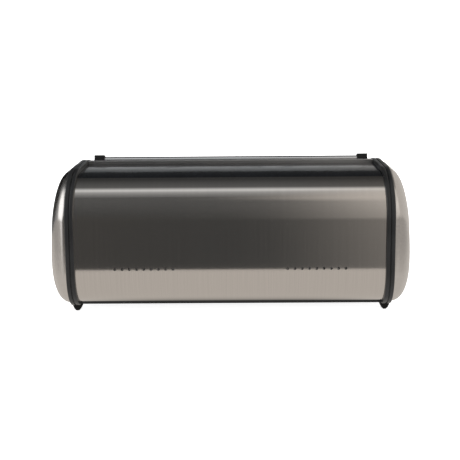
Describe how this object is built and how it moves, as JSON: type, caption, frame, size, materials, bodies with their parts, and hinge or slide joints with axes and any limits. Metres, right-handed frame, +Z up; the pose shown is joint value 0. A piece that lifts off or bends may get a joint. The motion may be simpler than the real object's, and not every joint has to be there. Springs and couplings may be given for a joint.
{
  "type": "bread box",
  "caption": "Steel bread box with a curved lid that rolls back inside, two black side frames, domed steel end caps, vent holes and a recessed top shelf.",
  "frame": {"origin": "middle of the footprint on the surface that the box stands on", "axes": "+X along the box, +Y towards the vented back, +Z up; the opening faces -Y"},
  "size_m": [0.414, 0.272, 0.1657],
  "materials": {
    "steel_sheet": "brushed, grain around the box",
    "steel_cap": "satin brushed",
    "grey_steel": "satin",
    "handle_steel": "polished edges",
    "gloss_black": "high gloss",
    "black_plastic": "satin moulded",
    "block_plastic": "satin moulded",
    "foot_rubber": "matte",
    "rubber": "matte",
    "nylon": "satin",
    "fastener": "zinc plated"
  },
  "bodies": {
    "base": {"back_shell": "steel_sheet", "base_panel": "black_plastic", "top_panel": "gloss_black", "front_crossbar": "grey_steel", "front_sill": "steel_sheet", "side_frame_left": "black_plastic", "side_frame_right": "black_plastic", "trim_ring_left": "black_plastic", "trim_ring_right": "black_plastic", "end_cap_left": "steel_cap", "end_cap_right": "steel_cap", "cap_tabs_left": "steel_cap", "cap_tabs_right": "steel_cap", "frame_screws_left": "fastener", "frame_screws_right": "fastener", "foot_rear_left": "foot_rubber", "foot_rear_right": "foot_rubber", "foot_front_left": "foot_rubber", "foot_front_right": "foot_rubber", "pivot_bush_left": "nylon", "pivot_bush_right": "nylon", "stop_buffers_left": "rubber", "stop_buffers_right": "rubber"},
    "lid": {"lid_sheet": "steel_sheet", "lid_arm_left": "black_plastic", "lid_arm_right": "black_plastic", "lid_rivets_left": "fastener", "lid_rivets_right": "fastener", "pivot_pin_left": "fastener", "pivot_pin_right": "fastener", "pivot_clip_left": "fastener", "pivot_clip_right": "fastener", "lid_front_seal": "rubber", "lid_rear_strip": "rubber", "handle_bar": "handle_steel", "handle_block_left": "block_plastic", "handle_block_right": "block_plastic", "handle_screws": "fastener"}
  },
  "joints": [
    {"name": "lid_roll", "type": "hinge", "parent": "base", "child": "lid", "pos_m": [0, 0, 0.026], "axis": [1, 0, 0], "range_deg": [0, 78]}
  ]
}
